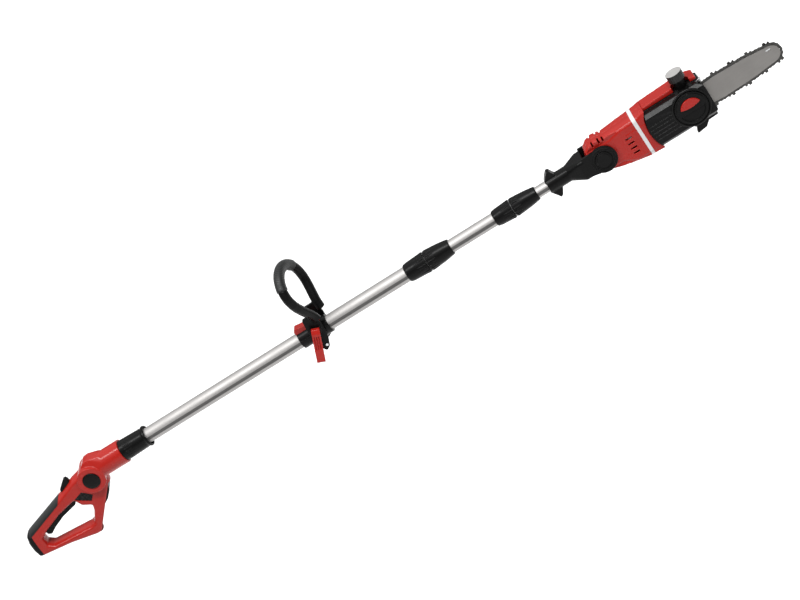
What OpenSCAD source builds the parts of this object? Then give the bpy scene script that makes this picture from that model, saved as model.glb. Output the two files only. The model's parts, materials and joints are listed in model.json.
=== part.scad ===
// Telescoping cordless pole saw.
// The pole's axis is the X axis, with the saw towards +X and the front hand loop towards +Z.
// X = 0 is the front end of the rear handle's collar, where the bare outer tube begins.

/* [Pole] */
// Outside diameter of the outer tube
outer_d = 33; // [32.5:0.1:33.5]
// Wall of the three aluminium tubes
tube_wall = 1.4; // [1.2:0.1:1.5]
// Bare length of the outer tube, collar to first twist lock
outer_bare = 661; // [600:1:720]
// Bare length of the middle tube as it is set
middle_bare = 104; // [100:1:240]
// Bare length of the inner tube as it is set
inner_bare = 26; // [24:1:160]

/* [Rear handle] */
// Width of the rear grip
grip_w = 38; // [36:0.5:40]
// Width over the round boss where grip and neck meet
boss_w = 57; // [56:0.5:60]
// Radius of the round boss
boss_r = 31; // [30:0.5:32]

/* [Front loop] */
// Distance from the collar to the middle of the loop's clamp
loop_x = 430; // [200:1:520]
// Half of the loop's width across the legs' centre lines
loop_half_w = 54; // [48:1:60]
// Height of the loop's top centre line above the pole's axis
loop_top = 156; // [150:1:170]
// Angle by which the loop is turned about the vertical
loop_yaw = 15; // [0:1:20]

/* [Saw head] */
// Distance from the yoke's rear face to the tilt axis
yoke_len = 122; // [120:1:130]
// Width of the motor housing
housing_w = 60; // [58:0.5:62]
// Half of the guide bar's width where it leaves the cover
bar_half_w = 25; // [23:0.5:25]
// Distance from the tilt axis to the centre of the bar's round nose
nose_x = 379; // [370:1:385]

/* [Hidden] */
$fn = 64;
eps = 0.01;

// ---------- stations along the pole
middle_d = outer_d - 4.5;
inner_d = middle_d - 4.5;
groove_r = 6;
groove_depth = 1.2;
collar_len = 58;
lock1_x = outer_bare;
lock1_len = 107;
lock1_split = lock1_x + 50;
lock2_x = lock1_x + lock1_len + middle_bare;
lock2_len = 101;
lock2_split = lock2_x + 44;
yoke_x = lock2_x + lock2_len + inner_bare;
outer_rear = -112;
outer_front = lock1_x + 39;
middle_rear = 60;
middle_front = lock2_x + 33;
inner_rear = 170;
inner_front = yoke_x + 40;
split_gap = 1.6;

// ---------- the saw head's own frame has its origin on the tilt axis
tilt_x = yoke_x + yoke_len;
tilt_z = -3;
cheek_in = 22;
cheek_out = 28;
disc_r = 28.8;

// ---------- rear handle outline in the XZ plane, from the neck back and round
boss_at = [-147, -8];
skin = 3;
grip_half = grip_w / 2;
handle_points = [
    [-126.2, -37.7], [-118, -12], [-130, 14], [-158, 17], [-192, 9], [-226, -4], [-300, -29],
    [-345, -44], [-351, -60], [-354, -82], [-356, -106], [-285, -118], [-226, -132], [-216.2, -131.7]
];
opening_points = [
    [-215, -34], [-209, -52], [-191, -64], [-197, -78], [-214, -101], [-226, -104],
    [-318, -97], [-328, -88], [-327, -72], [-308, -61], [-262, -44]
];
pad_points = [[-233, -1], [-248, -21], [-356, -58], [-356, -40], [-300, -23]];
grille_points = [[-214, -29], [-187, -20], [-167, -40], [-182, -53]];
trigger_points = [
    [-215, -24], [-211, -36], [-222, -46], [-262, -55], [-292, -67], [-308, -76],
    [-316, -72], [-317, -64], [-300, -50], [-262, -37], [-232, -27]
];
trigger_pivot = [-218, -31];
button_points = [[-226, -11], [-226, 2], [-217, 9], [-205, 18.5], [-200, 18.5], [-197, 13], [-198, -6]];
cap_points = [
    [-345.3, -43.5], [-350, -42.5], [-357, -50], [-363, -65], [-365.5, -84], [-364, -104], [-359, -108],
    [-356.3, -105.5], [-354.3, -82], [-351.3, -60]
];
post_at = [[-339, -62], [-342, -99], [-240, -119], [-235, -18]];
seat_from = [-222.2, -137.7];
seat_angle = 46.2;

// ---------- front loop
saddle_r = 20.5;
sleeve_rear = loop_x - 31;
sleeve_front = loop_x + 39.5;
loop_base = 22;
loop_mid_z = 110;
loop_foot_z = 30;
loop_offset = 28;
loop_lean = 4;
lever_lean = 24.5;
lever_at = [loop_x + 14, -35, 16];

// ---------- chain, bar and gears, in the saw head's frame
bar_y = -20;
bar_t = 4.2;
link_step = 18.64;
link_count = 33;
drive_teeth = 6;
nose_teeth = 7;
rail_h = 3;
sprocket_x = 131.7;
sprocket_r = link_step * drive_teeth / 360 * 180 / PI;
nose_pitch_r = link_step * nose_teeth / 360 * 180 / PI;
stud_x = 197;
// each wheel that the chain wraps: [distance from the tilt axis, pitch radius]
wraps = [
    [sprocket_x, sprocket_r], [262, bar_half_w + rail_h], [330, bar_half_w - 2 + rail_h],
    [nose_x, nose_pitch_r]
];
pinion_teeth = 8;
crown_teeth = 30;
motor_y = 5;
motor_r = 18.5;
motor_x0 = 46;
motor_x1 = 99;
pinion_x = 116;
crown_root_y = motor_y - 7;

// ---------- helpers
// Children are an outline in the XZ plane; the plate lies between two Y values.
module plate(y0, y1) {
    translate([0, y1, 0]) rotate([90, 0, 0]) linear_extrude(y1 - y0) children();
}

// Children are an outline in the YZ plane; the bar lies between two X values.
module along_x(x0, x1) {
    translate([x0, 0, 0]) rotate([90, 0, 90]) linear_extrude(x1 - x0) children();
}

module rod_x(x0, x1, r, y = 0, z = 0) {
    translate([x0, y, z]) rotate([0, 90, 0]) cylinder(h = x1 - x0, r = r);
}

module rod_y(y0, y1, r, x = 0, z = 0) {
    translate([x, y0, z]) rotate([-90, 0, 0]) cylinder(h = y1 - y0, r = r);
}

// Children are a half section with the radius first and X second.
module turned_x() {
    rotate([0, 90, 0]) rotate_extrude() children();
}

module block(x, y, z) {
    translate([x[0], y[0], z[0]]) cube([x[1] - x[0], y[1] - y[0], z[1] - z[0]]);
}

module rounded(r) {
    offset(r = r, $fn = 32) offset(delta = -r) children();
}

module on_head() {
    translate([tilt_x, 0, tilt_z]) children();
}

module side(sign) {
    if (sign > 0) children();
    else mirror([0, 1, 0]) children();
}

// ---------- pole tubes
module tube_section(d, grow = 0) {
    centre = d / 2 + groove_r - groove_depth;
    difference() {
        circle(d / 2 - grow);
        for (s = [-1, 1]) translate([s * centre, 0]) circle(groove_r + grow);
    }
}

module tube(d, x0, x1) {
    along_x(x0, x1) difference() {
        tube_section(d);
        tube_section(d, tube_wall);
    }
}

module outer_tube() {
    color("silver") tube(outer_d, outer_rear, outer_front);
}

module middle_tube() {
    color("silver") tube(middle_d, middle_rear, middle_front);
}

module inner_tube() {
    color("silver") tube(inner_d, inner_rear, inner_front);
}

// A slide guide plugs the rear end of a tube and runs in the next one.
module tube_guide(d, outer, x) {
    color("dimgray") difference() {
        union() {
            along_x(x - 8, x) tube_section(outer, tube_wall + 0.15);
            along_x(x - 1, x + 22) tube_section(d, tube_wall + 0.15);
        }
        rod_x(x - 9, x + 23, 8.2);
    }
}

module middle_guide() {
    tube_guide(middle_d, outer_d, middle_rear);
}

module inner_guide() {
    tube_guide(inner_d, middle_d, inner_rear);
}

// ---------- twist locks
module flutes(x0, x1, r, count, depth) {
    for (i = [0 : count - 1]) rotate([i * 360 / count, 0, 0]) rod_x(x0, x1, 2.2, 0, r + 2.2 - depth);
}

// Rear half of a twist lock: it is fixed on its tube and holds the collet.
module lock_sleeve(x, split, end_r, mid_r, tube_d) {
    color([0.1, 0.1, 0.1]) difference() {
        translate([x, 0, 0]) turned_x() polygon([
            [tube_d / 2 - 0.4, 0], [end_r - 1.5, 0], [end_r, 2], [end_r + 1.4, 9],
            [mid_r - 0.8, split - x - 14], [mid_r, split - x - 4], [mid_r - 1, split - x - split_gap],
            [tube_d / 2 - 0.4, split - x - split_gap]
        ]);
        rod_x(x - 1, split - 10.8, tube_d / 2 + 0.02);
        flutes(x + 8, split - 3, mid_r, 16, 1.6);
    }
}

// Front half of a twist lock: the nut that is turned by hand.
module lock_nut(split, x1, mid_r, end_r, bore_r, tube_d) {
    color([0.1, 0.1, 0.1]) difference() {
        translate([split, 0, 0]) turned_x() polygon([
            [tube_d / 2 + 0.3, 0], [mid_r - 1, 0], [mid_r, 3], [mid_r - 0.8, 14],
            [mid_r - 2.6, x1 - split - 22], [end_r + 0.6, x1 - split - 3], [end_r - 0.6, x1 - split],
            [tube_d / 2 + 0.3, x1 - split]
        ]);
        rod_x(split - 1, x1 - 13, bore_r);
        flutes(split + 2, x1 - 10, mid_r, 16, 1.6);
    }
}

// The collet is a slit ring that grips the thinner tube when the nut is tight.
module lock_collet(x0, x1, tube_d, outer_r) {
    color("gray") difference() {
        translate([x0, 0, 0]) turned_x() polygon([
            [tube_d / 2 + 0.05, 0], [outer_r, 0], [outer_r, x1 - x0 - 10], [outer_r - 0.8, x1 - x0],
            [tube_d / 2 + 0.05, x1 - x0]
        ]);
        for (a = [0 : 60 : 120]) rotate([a, 0, 0])
            block([x0 + 12, x1 + 1], [-1, 1], [-outer_r - 1, outer_r + 1]);
    }
}

module lock1_sleeve() {
    lock_sleeve(lock1_x, lock1_split, 19.4, 23, outer_d);
}

module lock1_nut() {
    lock_nut(lock1_split, lock1_x + lock1_len, 23, 16.8, outer_d / 2 - 0.4, middle_d);
}

module lock1_collet() {
    lock_collet(outer_front + 1, lock1_x + 92, middle_d, outer_d / 2 - 0.7);
}

module lock2_sleeve() {
    lock_sleeve(lock2_x, lock2_split, 16.9, 20.5, middle_d);
}

module lock2_nut() {
    lock_nut(lock2_split, lock2_x + lock2_len, 20.5, 14.4, middle_d / 2 - 0.4, inner_d);
}

module lock2_collet() {
    lock_collet(middle_front + 1, lock2_x + 86, inner_d, middle_d / 2 - 0.7);
}

// ---------- the lead inside the pole: a coil behind the inner tube and a straight run inside it
module cable_coil() {
    color([0.15, 0.15, 0.15]) rod_x(-108, inner_rear - 8.2, 7.5);
}

module head_lead() {
    color([0.15, 0.15, 0.15]) rod_x(inner_rear - 8, yoke_x + 90, 3.2);
}

// ---------- rear handle
module handle_outline() {
    difference() {
        union() {
            rounded(5) polygon(handle_points);
            translate(boss_at) circle(boss_r - 2);
        }
        rounded(4) polygon(opening_points);
    }
}

module handle_block(inset = 0) {
    plate(-grip_half + inset, grip_half - inset) offset(delta = -inset) handle_outline();
}

module in_seat_frame() {
    translate([seat_from[0], 0, seat_from[1]]) rotate([0, -seat_angle, 0]) children();
}

module shoe_block() {
    in_seat_frame() plate(-16.5, 16.5) polygon([
        [12, 10.5], [12, 0.6], [85, 0.6], [98, -3.5], [119, -4.5], [132, -1], [137, 3.5], [130, 10.5]
    ]);
}

module grip_skin() {
    intersection() {
        difference() {
            handle_block();
            handle_block(1.2);
        }
        plate(-grip_half - 1, grip_half + 1) polygon(pad_points);
    }
}

// The space that the trigger sweeps, with a little room round it
module trigger_slot() {
    plate(-7.6, 7.6) polygon([[-209, -20], [-207, -53], [-322, -86], [-322, -50], [-262, -27]]);
}

module button_slot() {
    plate(-6.4, 6.4) offset(delta = 0.4) hull() {
        polygon(button_points);
        translate([1.4, -4]) polygon(button_points);
    }
}

module handle_half() {
    difference() {
        union() {
            intersection() {
                difference() {
                    handle_block();
                    handle_block(skin);
                }
                block([-400, -100], [0, 60], [-200, 60]);
            }
            for (p = post_at) rod_y(0, grip_half - 1, 4.6, p[0], p[1]);
            rod_y(8.5, grip_half - 1, 4, trigger_pivot[0], trigger_pivot[1]);
        }
        rod_y(0, 15, 2.05, trigger_pivot[0], trigger_pivot[1]);
        grip_skin();
        shoe_block();
        trigger_slot();
        button_slot();
        plate(grip_half - skin - 1, grip_half + 1) polygon(grille_points);
        for (p = post_at) rod_y(-1, 14, 2, p[0], p[1]);
        rod_x(-118, -100, 9);
        rod_y(-1, grip_half + 1, 4.2, boss_at[0], boss_at[1]);
    }
}

module handle_shell_left() {
    color("firebrick") side(-1) handle_half();
}

module handle_shell_right() {
    color("firebrick") difference() {
        side(1) handle_half();
        for (p = post_at) rod_y(13, grip_half + 1, 3.7, p[0], p[1]);
    }
}

module handle_screw() {
    cylinder(h = 24, r = 1.9);
    translate([0, 0, 24]) difference() {
        cylinder(h = 2.6, r = 3.5);
        translate([0, 0, 1.2]) cylinder(h = 2, r = 1.5, $fn = 6);
    }
}

module handle_screws() {
    color("gray") for (p = post_at) translate([p[0], -11, p[1]]) rotate([-90, 0, 0]) handle_screw();
}

module grip_pad() {
    color([0.12, 0.12, 0.12]) grip_skin();
}

module handle_end_cap() {
    color([0.08, 0.08, 0.08]) plate(-grip_half + 0.5, grip_half - 0.5) rounded(2) polygon(cap_points);
}

module side_grilles() {
    color([0.05, 0.05, 0.05]) for (s = [-1, 1]) side(s) difference() {
        plate(grip_half - skin, grip_half - 0.8) offset(delta = -0.1) polygon(grille_points);
        for (x = [-206 : 5 : -172])
            block([x, x + 1.6], [grip_half - 2, grip_half + 1], [-60, 0]);
    }
}

module battery_shoe() {
    color([0.1, 0.1, 0.1]) difference() {
        shoe_block();
        in_seat_frame() {
            for (s = [-1, 1]) side(s) {
                block([10, 112], [9.5, 12.5], [-6, 6]);
                block([10, 112], [9.5, 14.5], [3, 6]);
            }
            block([40, 92], [-7.5, 7.5], [-6, 6.5]);
        }
    }
}

module battery_terminals() {
    color("goldenrod") in_seat_frame() for (y = [-5.5, 0, 5.5])
        block([48, 66], [y - 0.5, y + 0.5], [1, 6.5]);
}

module switch_module() {
    color([0.2, 0.3, 0.25]) {
        block([-205, -176], [-10, 10], [-27, -12.5]);
        block([-209.5, -205], [-3, 3], [-22, -18]);
    }
}

module trigger() {
    color([0.08, 0.08, 0.08]) difference() {
        union() {
            plate(-7, 7) rounded(1.5) polygon(trigger_points);
            rod_y(-14.5, 14.5, 2, trigger_pivot[0], trigger_pivot[1]);
        }
        rod_y(-8, 8, 5, -262, -33);
    }
}

module trigger_spring() {
    color("silver") translate([-262, 0, -35]) rotate([0, 19, 0])
        linear_extrude(height = 15, twist = -360 * 5, slices = 80) translate([3, 0]) circle(0.6, $fn = 8);
}

module lock_off_button() {
    color([0.08, 0.08, 0.08]) {
        plate(-6, 6) rounded(1.2) polygon(button_points);
        plate(-8, 8) polygon([[-228, -12.5], [-228, -9.5], [-191, 3.5], [-191, 0.5]]);
    }
}

// ---------- neck and collar between handle and pole
hump_front = 104;

module hump_outline() {
    rounded(4) polygon([
        [-hump_front, 0], [-hump_front, 25], [-118, 29], [-130, 33], [-142, 32], [-152, 25], [-160, 13],
        [-150, 0]
    ]);
}

module neck() {
    color("firebrick") difference() {
        union() {
            hull() {
                rod_x(boss_at[0], -hump_front, 27);
                plate(-14, 14) hump_outline();
            }
            rod_x(-hump_front, -collar_len, 27);
            rod_y(-boss_w / 2, boss_w / 2, boss_r, boss_at[0], boss_at[1]);
        }
        handle_block(-0.15);
        rod_x(outer_rear, -collar_len + 1, outer_d / 2 + 0.02);
        rod_x(outer_rear - 20, outer_rear + 1, 9);
        rod_y(-boss_w / 2 - 1, boss_w / 2 + 1, 4.2, boss_at[0], boss_at[1]);
        for (s = [-1, 1]) side(s) rod_y(boss_w / 2 - 3, boss_w / 2 + 1, 18.7, boss_at[0], boss_at[1]);
    }
}

// Low domes that close the two ends of the boss
module boss_caps() {
    color([0.05, 0.05, 0.05]) for (s = [-1, 1]) side(s)
        translate([boss_at[0], boss_w / 2 - 1, boss_at[1]]) rotate([-90, 0, 0]) rotate_extrude()
            polygon([[0, 0], [18.5, 0], [18.5, 1.6], [17, 2.8], [10, 4], [0, 4.4]]);
}

// Through bolt with its nut, which ties the neck to the handle shells
module boss_bolt() {
    color("gray") {
        rod_y(-boss_w / 2 + 3, boss_w / 2 - 3, 4, boss_at[0], boss_at[1]);
        rod_y(boss_w / 2 - 3, boss_w / 2 - 1.2, 8, boss_at[0], boss_at[1]);
        rod_y(-boss_w / 2 + 1.2, -boss_w / 2 + 3, 8, boss_at[0], boss_at[1]);
    }
}

module pole_collar() {
    color([0.1, 0.1, 0.1]) difference() {
        translate([-collar_len, 0, 0]) turned_x() polygon([
            [outer_d / 2 + 0.02, 0], [23.5, 0], [23.2, 6], [22, collar_len - 8], [21.6, collar_len - 1],
            [24, collar_len + 3], [23.4, collar_len + 6], [21, collar_len + 7], [19.4, collar_len + 3],
            [outer_d / 2 + 0.02, collar_len]
        ]);
        for (a = [0 : 15 : 359]) rotate([a, 0, 0]) rod_x(-collar_len + 10, -10, 0.8, 0, 23.2);
    }
}

// ---------- front hand loop
function loop_s(t) =
    abs(t) <= 90 ? loop_half_w * sin(t)
    : sign(t) * (loop_base + (loop_half_w - loop_base) * pow(sin(abs(t)), 4));
function loop_z(t) =
    loop_mid_z + cos(t) * (abs(t) <= 90 ? loop_top - loop_mid_z : loop_mid_z - loop_foot_z);
function loop_at(t) =
    let (back = (loop_z(t) - loop_mid_z) * tan(loop_lean))
    [loop_x + loop_offset + loop_s(t) * sin(loop_yaw) - back, loop_s(t) * cos(loop_yaw), loop_z(t)];

// A round bar along the loop's centre line, with the radius given for each angle
function loop_frame(t) =
    let (d = loop_at(min(t + 1, 180)) - loop_at(max(t - 1, -180)))
    let (along = d / norm(d))
    let (out = [cos(loop_yaw), -sin(loop_yaw), 0])
    [out, cross(along, out)];

module loop_bar(angles, radii, sides) {
    rings = [for (i = [0 : len(angles) - 1])
        let (f = loop_frame(angles[i]))
        [for (k = [0 : sides - 1])
            loop_at(angles[i])
            + radii[i] * (cos(k * 360 / sides) * f[0] + sin(k * 360 / sides) * f[1])]];
    count = len(angles);
    points = [for (ring = rings) each ring];
    walls = [for (i = [0 : count - 2]) for (k = [0 : sides - 1])
        let (n = (k + 1) % sides, here = i * sides, there = here + sides)
        each [[here + k, there + n, here + n], [here + k, there + k, there + n]]];
    start = [for (k = [0 : sides - 1]) k];
    finish = [for (k = [0 : sides - 1]) count * sides - 1 - k];
    polyhedron(points, concat([start], walls, [finish]));
}

grip_angles = [for (t = [-60 : 8 : 60]) t];
bore_angles = concat([-62], grip_angles, [62]);
core_r = 8.5;
grip_r = 11.8;
leg_r = 10.3;
loop_angles = concat([for (t = [-180 : 9 : -63]) t], [-60.5], [for (t = [-60 : 8 : 60]) t],
                     [60.5], [for (t = [63 : 9 : 180]) t]);
loop_radii = [for (t = loop_angles) abs(t) < 60.2 ? core_r : leg_r];

module bracket_outline() {
    rounded(4) polygon([
        [loop_x + 2, 48], [loop_x + 27, 48], [loop_x + 32, 18], [loop_x + 27, -12],
        [loop_x + 17, -33], [loop_x + 6, -40], [loop_x - 2, -22], [loop_x - 3, 18]
    ]);
}

module loop_handle() {
    color([0.12, 0.12, 0.12]) difference() {
        union() {
            loop_bar(loop_angles, loop_radii, 16);
            for (s = [-1, 1]) side(s) translate([s * 3 + 3, 0, 0])
                plate(saddle_r + 0.2, 28) bracket_outline();
            in_lever_frame() for (x = [-12, 9.4]) block([x, x + 2.6], [-4, 7.4], [-5, 6]);
        }
        in_lever_frame() rod_x(-13, 13, 2.55);
        rod_x(loop_x - 60, loop_x + 60, saddle_r + 0.1);
        rod_y(-40, 40, 3.05, loop_x + 14, -27);
    }
}

module loop_grip() {
    color([0.2, 0.2, 0.2]) difference() {
        loop_bar(grip_angles, [for (t = grip_angles) grip_r], 16);
        loop_bar(bore_angles, [for (t = bore_angles) core_r + 0.05], 16);
    }
}

// The split sleeve round the pole
module sleeve_ring() {
    difference() {
        rod_x(sleeve_rear, sleeve_front, saddle_r);
        rod_x(sleeve_rear - 1, sleeve_front + 1, outer_d / 2 + 0.3);
    }
}

clamp_split_z = 6;

module clamp_upper() {
    color([0.1, 0.1, 0.1]) intersection() {
        sleeve_ring();
        block([loop_x - 60, loop_x + 60], [-40, 40], [clamp_split_z + 0.4, 40]);
    }
}

module clamp_lower() {
    color([0.1, 0.1, 0.1]) intersection() {
        sleeve_ring();
        block([loop_x - 60, loop_x + 60], [-40, 40], [-40, clamp_split_z - 0.4]);
    }
}

// Block on the top of the sleeve that the two legs clamp between them
module saddle_block() {
    color("firebrick") difference() {
        plate(-10, 10) rounded(3) polygon([
            [loop_x - 31, 12], [loop_x - 32, 26], [loop_x - 27, 31], [loop_x - 8, 28.5],
            [loop_x + 22, 28.5], [loop_x + 28, 25], [loop_x + 28, 12]
        ]);
        rod_x(loop_x - 60, sleeve_rear + 1, outer_d / 2 + 0.5);
        rod_x(loop_x - 60, loop_x + 60, saddle_r + 0.05);
    }
}

module clamp_bolt() {
    color("gray") {
        rod_y(-29.5, 33, 3, loop_x + 14, -27);
        translate([loop_x + 14, 28.1, -27]) rotate([-90, 30, 0]) cylinder(h = 4.5, r = 6, $fn = 6);
    }
}

module in_lever_frame() {
    translate(lever_at) rotate([0, lever_lean, 0]) children();
}

// Quick-release lever with the two trunnions it swings on
module lever() {
    color("firebrick") in_lever_frame() {
        difference() {
            rotate([90, 0, 90]) translate([0, 0, -9]) linear_extrude(18) rounded(2) polygon([
                [5, 5], [-5, 5], [-9, -4], [-9, -69], [-4, -73], [0, -71], [0.5, -20], [5, -6]
            ]);
            for (x = [-4.5, 0, 4.5]) block([x - 1, x + 1], [-10, -7.4], [-40, -10]);
        }
        rod_x(-11.8, 11.8, 2.5);
    }
}

// ---------- yoke on the front of the inner tube
module yoke() {
    color([0.1, 0.1, 0.1]) difference() {
        union() {
            rod_x(yoke_x, yoke_x + 62, 17);
            plate(-9, 9) polygon([
                [yoke_x - 2, 13], [yoke_x + 4, 22], [yoke_x + 12, 30.5], [yoke_x + 17, 29],
                [yoke_x + 24, 16], [yoke_x + 24, -16], [yoke_x + 16, -30], [yoke_x + 11, -33],
                [yoke_x + 4, -22], [yoke_x - 2, -13]
            ]);
            hull() {
                rod_x(yoke_x + 44, yoke_x + 46, 16, $fn = 32);
                along_x(yoke_x + 74, yoke_x + 87) translate([0, -2.5]) rounded(8)
                    square([2 * cheek_out, 45], center = true);
            }
            on_head() for (s = [-1, 1]) side(s) plate(cheek_in, cheek_out) {
                polygon([[-37, 26], [0, disc_r - 2], [0, -disc_r + 2], [-37, -18.8]]);
                circle(disc_r);
            }
        }
        rod_x(yoke_x - 3, yoke_x + 40, inner_d / 2 + 0.02);
        rod_x(yoke_x + 30, yoke_x + 92, 4);
        on_head() for (s = [-1, 1]) side(s) {
            rod_y(cheek_in + 1.6, cheek_out + 1, 17.3);
            rod_y(0, cheek_out + 1, 5.02);
        }
    }
}

module pivot_bolt() {
    color("gray") on_head() rod_y(-cheek_in - 1.4, cheek_in + 1.4, 5);
}

module tilt_button() {
    on_head() {
        rod_y(cheek_in + 5.2, cheek_out + 1.5, 17);
        rod_y(cheek_in + 5.2, cheek_out + 3.5, 14);
    }
}

module tilt_button_left() {
    color([0.05, 0.05, 0.05]) side(-1) tilt_button();
}

module tilt_button_right() {
    color([0.05, 0.05, 0.05]) side(1) tilt_button();
}

// ---------- motor housing, in the head's frame
module cover_arc(grow = 0) {
    translate([193, -2]) circle(r = 90 + grow, $fn = 128);
}

module housing_side() {
    difference() {
        union() {
            circle(31);
            polygon([
                [-26, 20], [-24, 29], [-14, 36], [0, 40], [12, 39], [21, 36.5], [85, 41], [120, 44],
                [120, -47], [85, -47], [27, -38], [0, -31]
            ]);
        }
        cover_arc(0.15);
    }
}

module housing_plan() {
    half = housing_w / 2;
    polygon([
        [-40, -21.6], [30.5, -21.6], [58, -half], [121, -half],
        [121, half], [58, half], [30.5, 21.6], [-40, 21.6]
    ]);
}

module housing_block(grow = 0) {
    intersection() {
        plate(-40, 40) offset(delta = grow) housing_side();
        translate([0, 0, -60]) linear_extrude(120) offset(delta = grow) housing_plan();
    }
}

module band_block() {
    difference() {
        intersection() {
            housing_block(0.5);
            block([85, 93], [-60, 60], [-60, 60]);
        }
        housing_block(-1);
    }
}

module housing_half() {
    difference() {
        intersection() {
            difference() {
                housing_block();
                housing_block(-2.6);
            }
            block([-40, 130], [0, 60], [-60, 60]);
        }
        band_block();
        rod_y(-1, 40, 5.3);
        rod_y(21.7, 40, disc_r + 0.6);
        for (z = [-22, -11, 0, 11]) block([56, 70], [20, 40], [z - 1.7, z + 1.7]);
        for (x = [-4, 10, 19]) block([x - 1.5, x + 1.5], [10, 40], [32, 50]);
        rod_x(-40, -20, 7.5);
    }
    for (x = [58, 80]) block([x, x + 2], [0, housing_w / 2 - 1], [-40, 37]);
}

module motor_housing_left() {
    color("firebrick") on_head() difference() {
        side(-1) housing_half();
        rod_x(motor_x0, pinion_x, motor_r + 0.1, motor_y);
    }
}

module motor_housing_right() {
    color("firebrick") on_head() difference() {
        side(1) housing_half();
        rod_x(motor_x0, pinion_x, motor_r + 0.1, motor_y);
    }
}

module housing_band() {
    color("lightgray") on_head() band_block();
}

module motor_stator() {
    color("dimgray") on_head() difference() {
        rod_x(motor_x0, motor_x1, motor_r, motor_y);
        rod_x(motor_x0 + 3, motor_x1 - 3, motor_r - 2, motor_y);
        rod_x(motor_x0 - 1, motor_x1 + 1, 3.05, motor_y);
    }
}

module motor_rotor() {
    color("peru") on_head() {
        rod_x(motor_x0 - 2, pinion_x + 1, 3, motor_y);
        rod_x(motor_x0 + 7, motor_x1 - 7, motor_r - 3, motor_y);
        rod_x(pinion_x - 10, pinion_x, 4.2, motor_y);
        for (i = [0 : pinion_teeth - 1]) translate([0, motor_y, 0]) rotate([i * 360 / pinion_teeth, 0, 0])
            block([pinion_x - 10, pinion_x], [-6.6, -4], [-0.45, 0.45]);
    }
}

// ---------- transmission
module crown_gear() {
    color("gray") on_head() difference() {
        union() {
            rod_y(crown_root_y - 4, crown_root_y, 24, sprocket_x);
            for (i = [0 : crown_teeth - 1]) translate([sprocket_x, 0, 0])
                rotate([0, (i + 0.5) * 360 / crown_teeth, 0])
                    block([-23.5, -18.5], [crown_root_y - 1, crown_root_y + 2.3], [-0.55, 0.55]);
        }
        rod_y(crown_root_y - 5, crown_root_y + 1, 5.02, sprocket_x);
    }
}

// The drive sprocket is one piece with its shaft; its teeth end just inside the chain's drive links.
module sprocket_shaft() {
    color("silver") on_head() {
        rod_y(-26, 12, 5, sprocket_x);
        translate([sprocket_x, 0, 0]) plate(bar_y - 2.5, bar_y + 2.5) difference() {
            circle(12);
            for (i = [0 : drive_teeth - 1])
                rotate((i + 0.5) * 360 / drive_teeth) translate([12, 0]) circle(3.2);
        }
    }
}

module front_of_arc() {
    cover_arc();
    translate([190, -60]) square([60, 120]);
}

module case_side() {
    intersection() {
        polygon([
            [100, 36], [228, 36], [238, 30], [240, 20], [240, -33], [234, -42], [100, -42]
        ]);
        front_of_arc();
    }
}

case_y0 = -14;
case_y1 = 29;
cover_y0 = -36;
filler_at = [202, -6, 26];

module filler_neck(grow) {
    translate(filler_at) cylinder(h = 28, r1 = 11 + grow, r2 = 14 + grow);
}

module gear_case() {
    color([0.1, 0.1, 0.1]) on_head() difference() {
        union() {
            difference() {
                plate(case_y0, case_y1) case_side();
                plate(case_y0 + 3, case_y1 - 3) offset(delta = -3) case_side();
            }
            plate(bar_y + bar_t / 2, case_y0 + 1) translate([stud_x, 0]) rounded(6)
                square([52, 26], center = true);
            rod_y(case_y0, case_y0 + 8, 14, sprocket_x);
            rod_y(6, case_y1 - 1, 14, sprocket_x);
            filler_neck(0);
        }
        rod_x(90, 112, 12, motor_y);
        rod_y(case_y0 - 6, case_y0 + 9, 10, sprocket_x);
        rod_y(5, 12.2, 10, sprocket_x);
        rod_y(-30, case_y0 + 4, 4, stud_x);
        translate(filler_at - [0, 0, 6]) cylinder(h = 40, r = 10);
    }
}

module bar_stud() {
    color("silver") on_head() {
        rod_y(case_y0 + 3.05, case_y0 + 7, 8, stud_x);
        rod_y(-40, case_y0 + 3.05, 3.95, stud_x);
    }
}

module oil_tank() {
    color([0.85, 0.85, 0.8]) on_head() difference() {
        union() {
            block([160, 232], [-9, 24], [-38, 24]);
            translate(filler_at - [0, 0, 4]) cylinder(h = 30, r = 9.9);
        }
        difference() {
            block([162, 230], [-7, 22], [-36, 22]);
            rod_y(-10, case_y0 + 9, 10, stud_x);
        }
        rod_y(-10, case_y0 + 7.5, 8.2, stud_x);
        translate(filler_at - [0, 0, 6]) cylinder(h = 40, r = 8);
    }
}

// The outside of the chain cover or, with a wall thickness, the space inside it
module cover_solid(wall = 0) {
    half = 6 + wall;
    difference() {
        plate(cover_y0 + wall, case_y0 + wall - 0.2) offset(delta = -0.5 - wall) case_side();
        for (z = [36, -43]) translate([100, cover_y0, z]) rotate([45, 0, 0])
            block([0, 150], [-half, half], [-half, half]);
    }
}

// Removable cover over the sprocket and the rear of the bar
module chain_cover() {
    color([0.08, 0.08, 0.08]) on_head() difference() {
        cover_solid();
        cover_solid(3);
        block([230, 250], [-29, case_y0], [-33, 33]);
        rod_y(-40, -30, 10.3, stud_x, 0);
        filler_neck(0.4);
        plate(bumper_y - 0.3, case_y0) offset(delta = 0.4) bumper_outline();
    }
}

module branch_hook() {
    color([0.1, 0.1, 0.1]) on_head() difference() {
        plate(case_y0 + 2, case_y0 + 12) rounded(1.5) polygon([
            [172, -40], [176, -46], [187, -54], [182, -68], [204, -65], [214, -55], [235, -54], [236, -46],
            [236, -40]
        ]);
        plate(case_y0, case_y1) offset(delta = 0.1) case_side();
    }
}

// Toothed plate between the case and the bar, which bites into the wood
bumper_y = bar_y + bar_t / 2 + 0.9;

module bumper_outline() {
    polygon([[225, 33], [243, 37], [237, 27], [237, -32], [243, -39], [225, -41]]);
}

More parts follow.
